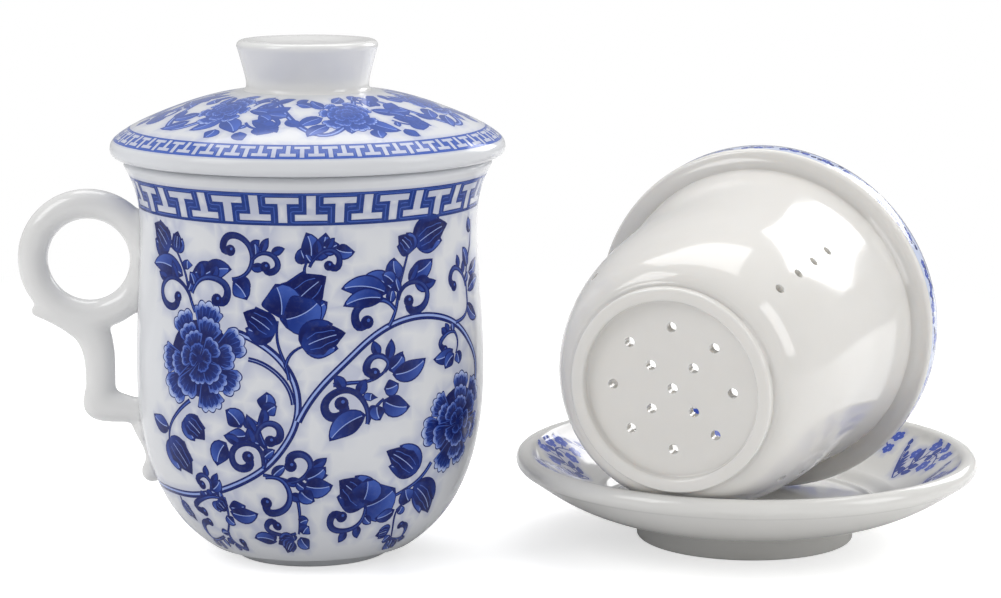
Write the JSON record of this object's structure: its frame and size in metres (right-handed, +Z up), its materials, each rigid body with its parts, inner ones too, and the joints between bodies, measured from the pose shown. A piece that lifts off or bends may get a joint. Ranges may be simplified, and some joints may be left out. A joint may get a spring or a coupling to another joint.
{
  "type": "lidded tea mug with infuser and saucer",
  "caption": "Lidded porcelain tea mug with a ring-and-scroll handle, a perforated lift-out infuser cup leaning in its footed saucer.",
  "frame": {"origin": "centre of the mug's foot ring, on the surface that the mug stands on", "axes": "+Z up along the mug's axis, the handle towards -X, the saucer and infuser towards +X and a little towards +Y"},
  "size_m": [0.2236, 0.1137, 0.1187],
  "materials": {
    "printed_porcelain": "glossy clear glaze over cobalt blue decoration",
    "white_porcelain": "glossy clear glaze",
    "infuser_porcelain": "glossy clear glaze with a printed collar",
    "saucer_porcelain": "glossy clear glaze with printed sprays on the rim"
  },
  "bodies": {
    "mug": {"mug_body": "printed_porcelain", "mug_handle": "white_porcelain"},
    "lid": {"lid_dome": "printed_porcelain", "lid_knob": "white_porcelain"},
    "saucer": {"saucer": "saucer_porcelain"},
    "infuser": {"infuser_cup": "infuser_porcelain"}
  },
  "joints": [
    {"name": "lid_lift", "type": "slide", "parent": "mug", "child": "lid", "axis": [0, 0, 1], "range_m": [0, 0.06]},
    {"name": "saucer_lift", "type": "slide", "parent": "mug", "child": "saucer", "axis": [0, 0, 1], "range_m": [0, 0.12]},
    {"name": "infuser_lift", "type": "slide", "parent": "saucer", "child": "infuser", "axis": [0, 0, 1], "range_m": [0, 0.12]}
  ]
}
